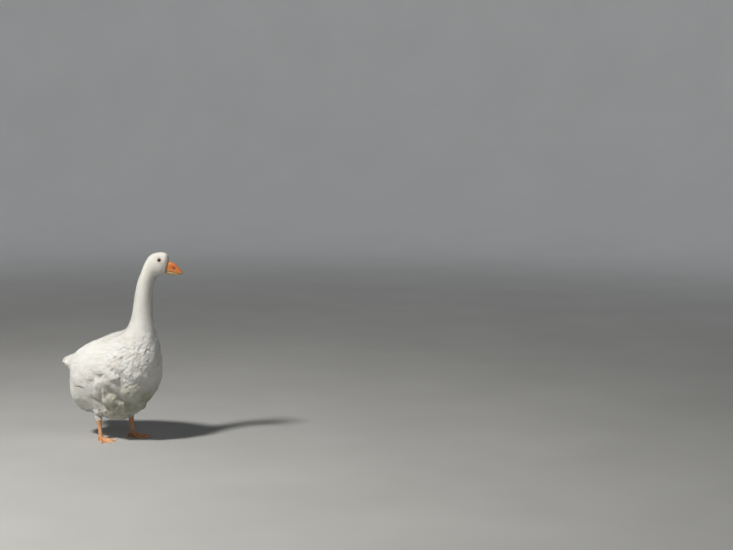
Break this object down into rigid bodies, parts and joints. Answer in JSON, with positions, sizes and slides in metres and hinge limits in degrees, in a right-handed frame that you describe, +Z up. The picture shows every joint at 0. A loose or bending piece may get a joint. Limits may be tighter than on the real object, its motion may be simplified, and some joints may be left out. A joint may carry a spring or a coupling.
{
  "type": "domestic goose",
  "caption": "Life-size still model of a white domestic goose standing on both webbed feet, neck raised and head turned a little to its left, wings folded.",
  "frame": {"origin": "on the floor, below the middle of the bird's bounding box", "axes": "+X the way the body faces, +Y the bird's left, +Z up"},
  "size_m": [0.644, 0.305, 0.82],
  "materials": {
    "white_feather": "soft matte white feathers, cream in the folds",
    "orange_skin": "bare scaled skin, orange, low sheen",
    "orange_horn": "satin orange horn, redder in its middle, pale nail",
    "pale_horn": "satin pale orange horn",
    "dark_eye": "wet gloss, dark blue-grey",
    "eyelid": "thin bare orange skin round the eye"
  },
  "bodies": {
    "root": {"trunk": "white_feather", "neck": "white_feather", "head": "white_feather", "tail": "white_feather", "wing_left": "white_feather", "wing_right": "white_feather", "thigh_left": "white_feather", "thigh_right": "white_feather", "shank_left": "orange_skin", "shank_right": "orange_skin", "foot_left": "orange_skin", "foot_right": "orange_skin", "bill_upper": "orange_horn", "bill_lower": "pale_horn", "eye_left": "dark_eye", "eye_right": "dark_eye"}
  },
  "joints": []
}
